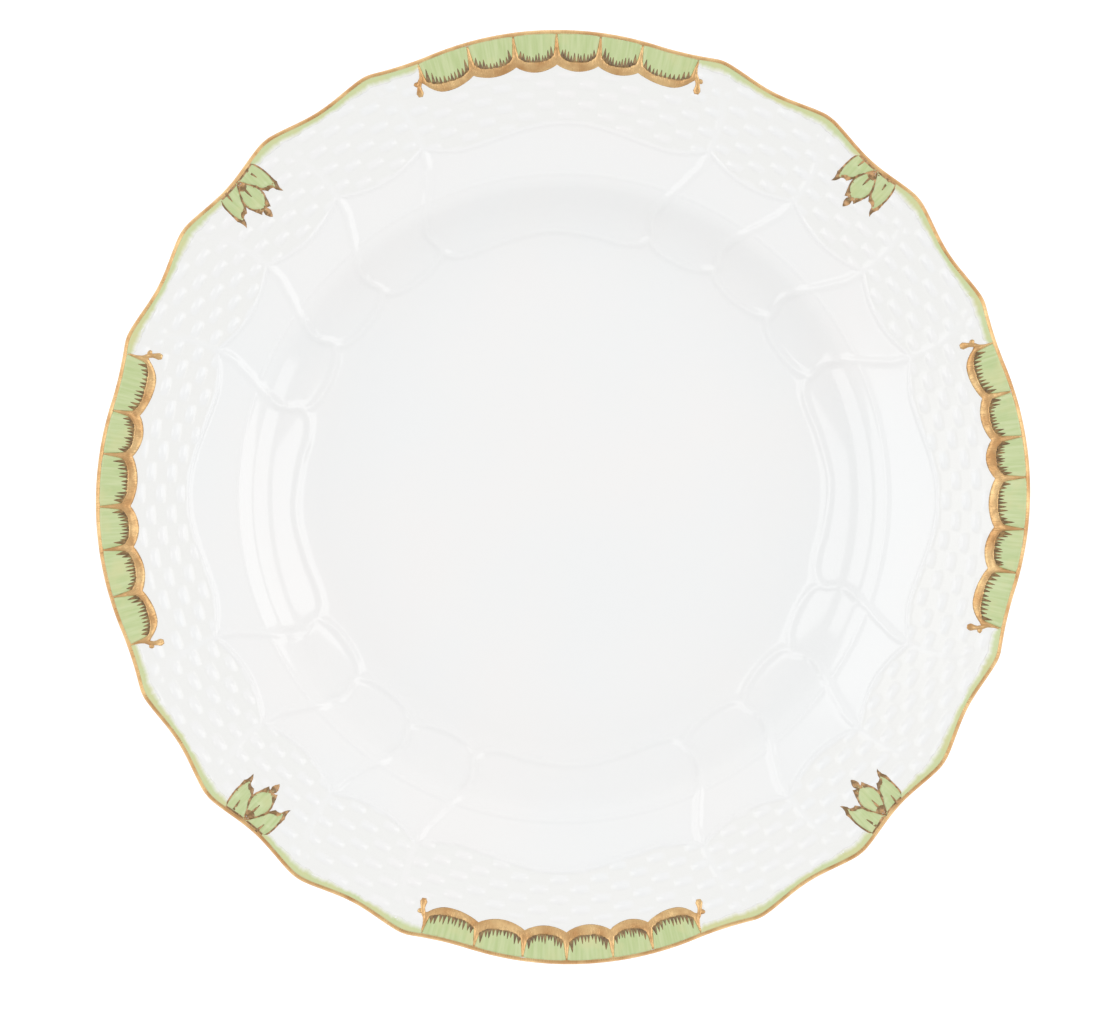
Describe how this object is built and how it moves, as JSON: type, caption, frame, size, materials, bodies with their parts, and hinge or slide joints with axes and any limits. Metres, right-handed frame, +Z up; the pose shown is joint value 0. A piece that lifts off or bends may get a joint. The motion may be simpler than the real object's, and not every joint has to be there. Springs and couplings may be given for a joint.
{
  "type": "dinner plate",
  "caption": "Scalloped porcelain dinner plate with basketwork rim, swirled ribs, painted scale bands, leaf sprigs and a gilt edge.",
  "frame": {"origin": "centre of the foot ring's resting plane, which is also the bottom centre of the bounding box", "axes": "+Z up out of the well, +Y and +X towards two of the four painted scale bands"},
  "size_m": [0.2674, 0.2674, 0.026],
  "materials": {
    "biscuit_porcelain": "unglazed, fine matte",
    "clear_glaze": "gloss glaze over white porcelain",
    "gilding": "soft burnished gold",
    "green_enamel": "gloss overglaze enamel, brushed",
    "olive_enamel": "gloss overglaze enamel",
    "brown_enamel": "gloss overglaze enamel",
    "green_wash": "thin gloss wash"
  },
  "bodies": {
    "root": {"porcelain_body": "biscuit_porcelain", "glaze_face": "clear_glaze", "glaze_base": "clear_glaze", "gold_rim_line": "gilding", "scale_enamel_east": "green_enamel", "gilt_festoon_east": "gilding", "comb_strokes_east": "olive_enamel", "scale_enamel_north": "green_enamel", "gilt_festoon_north": "gilding", "comb_strokes_north": "olive_enamel", "scale_enamel_west": "green_enamel", "gilt_festoon_west": "gilding", "comb_strokes_west": "olive_enamel", "scale_enamel_south": "green_enamel", "gilt_festoon_south": "gilding", "comb_strokes_south": "olive_enamel", "leaf_enamel_north_east": "green_enamel", "leaf_outline_north_east": "brown_enamel", "edge_wash_north_east": "green_wash", "leaf_enamel_north_west": "green_enamel", "leaf_outline_north_west": "brown_enamel", "edge_wash_north_west": "green_wash", "leaf_enamel_south_west": "green_enamel", "leaf_outline_south_west": "brown_enamel", "edge_wash_south_west": "green_wash", "leaf_enamel_south_east": "green_enamel", "leaf_outline_south_east": "brown_enamel", "edge_wash_south_east": "green_wash"}
  },
  "joints": []
}
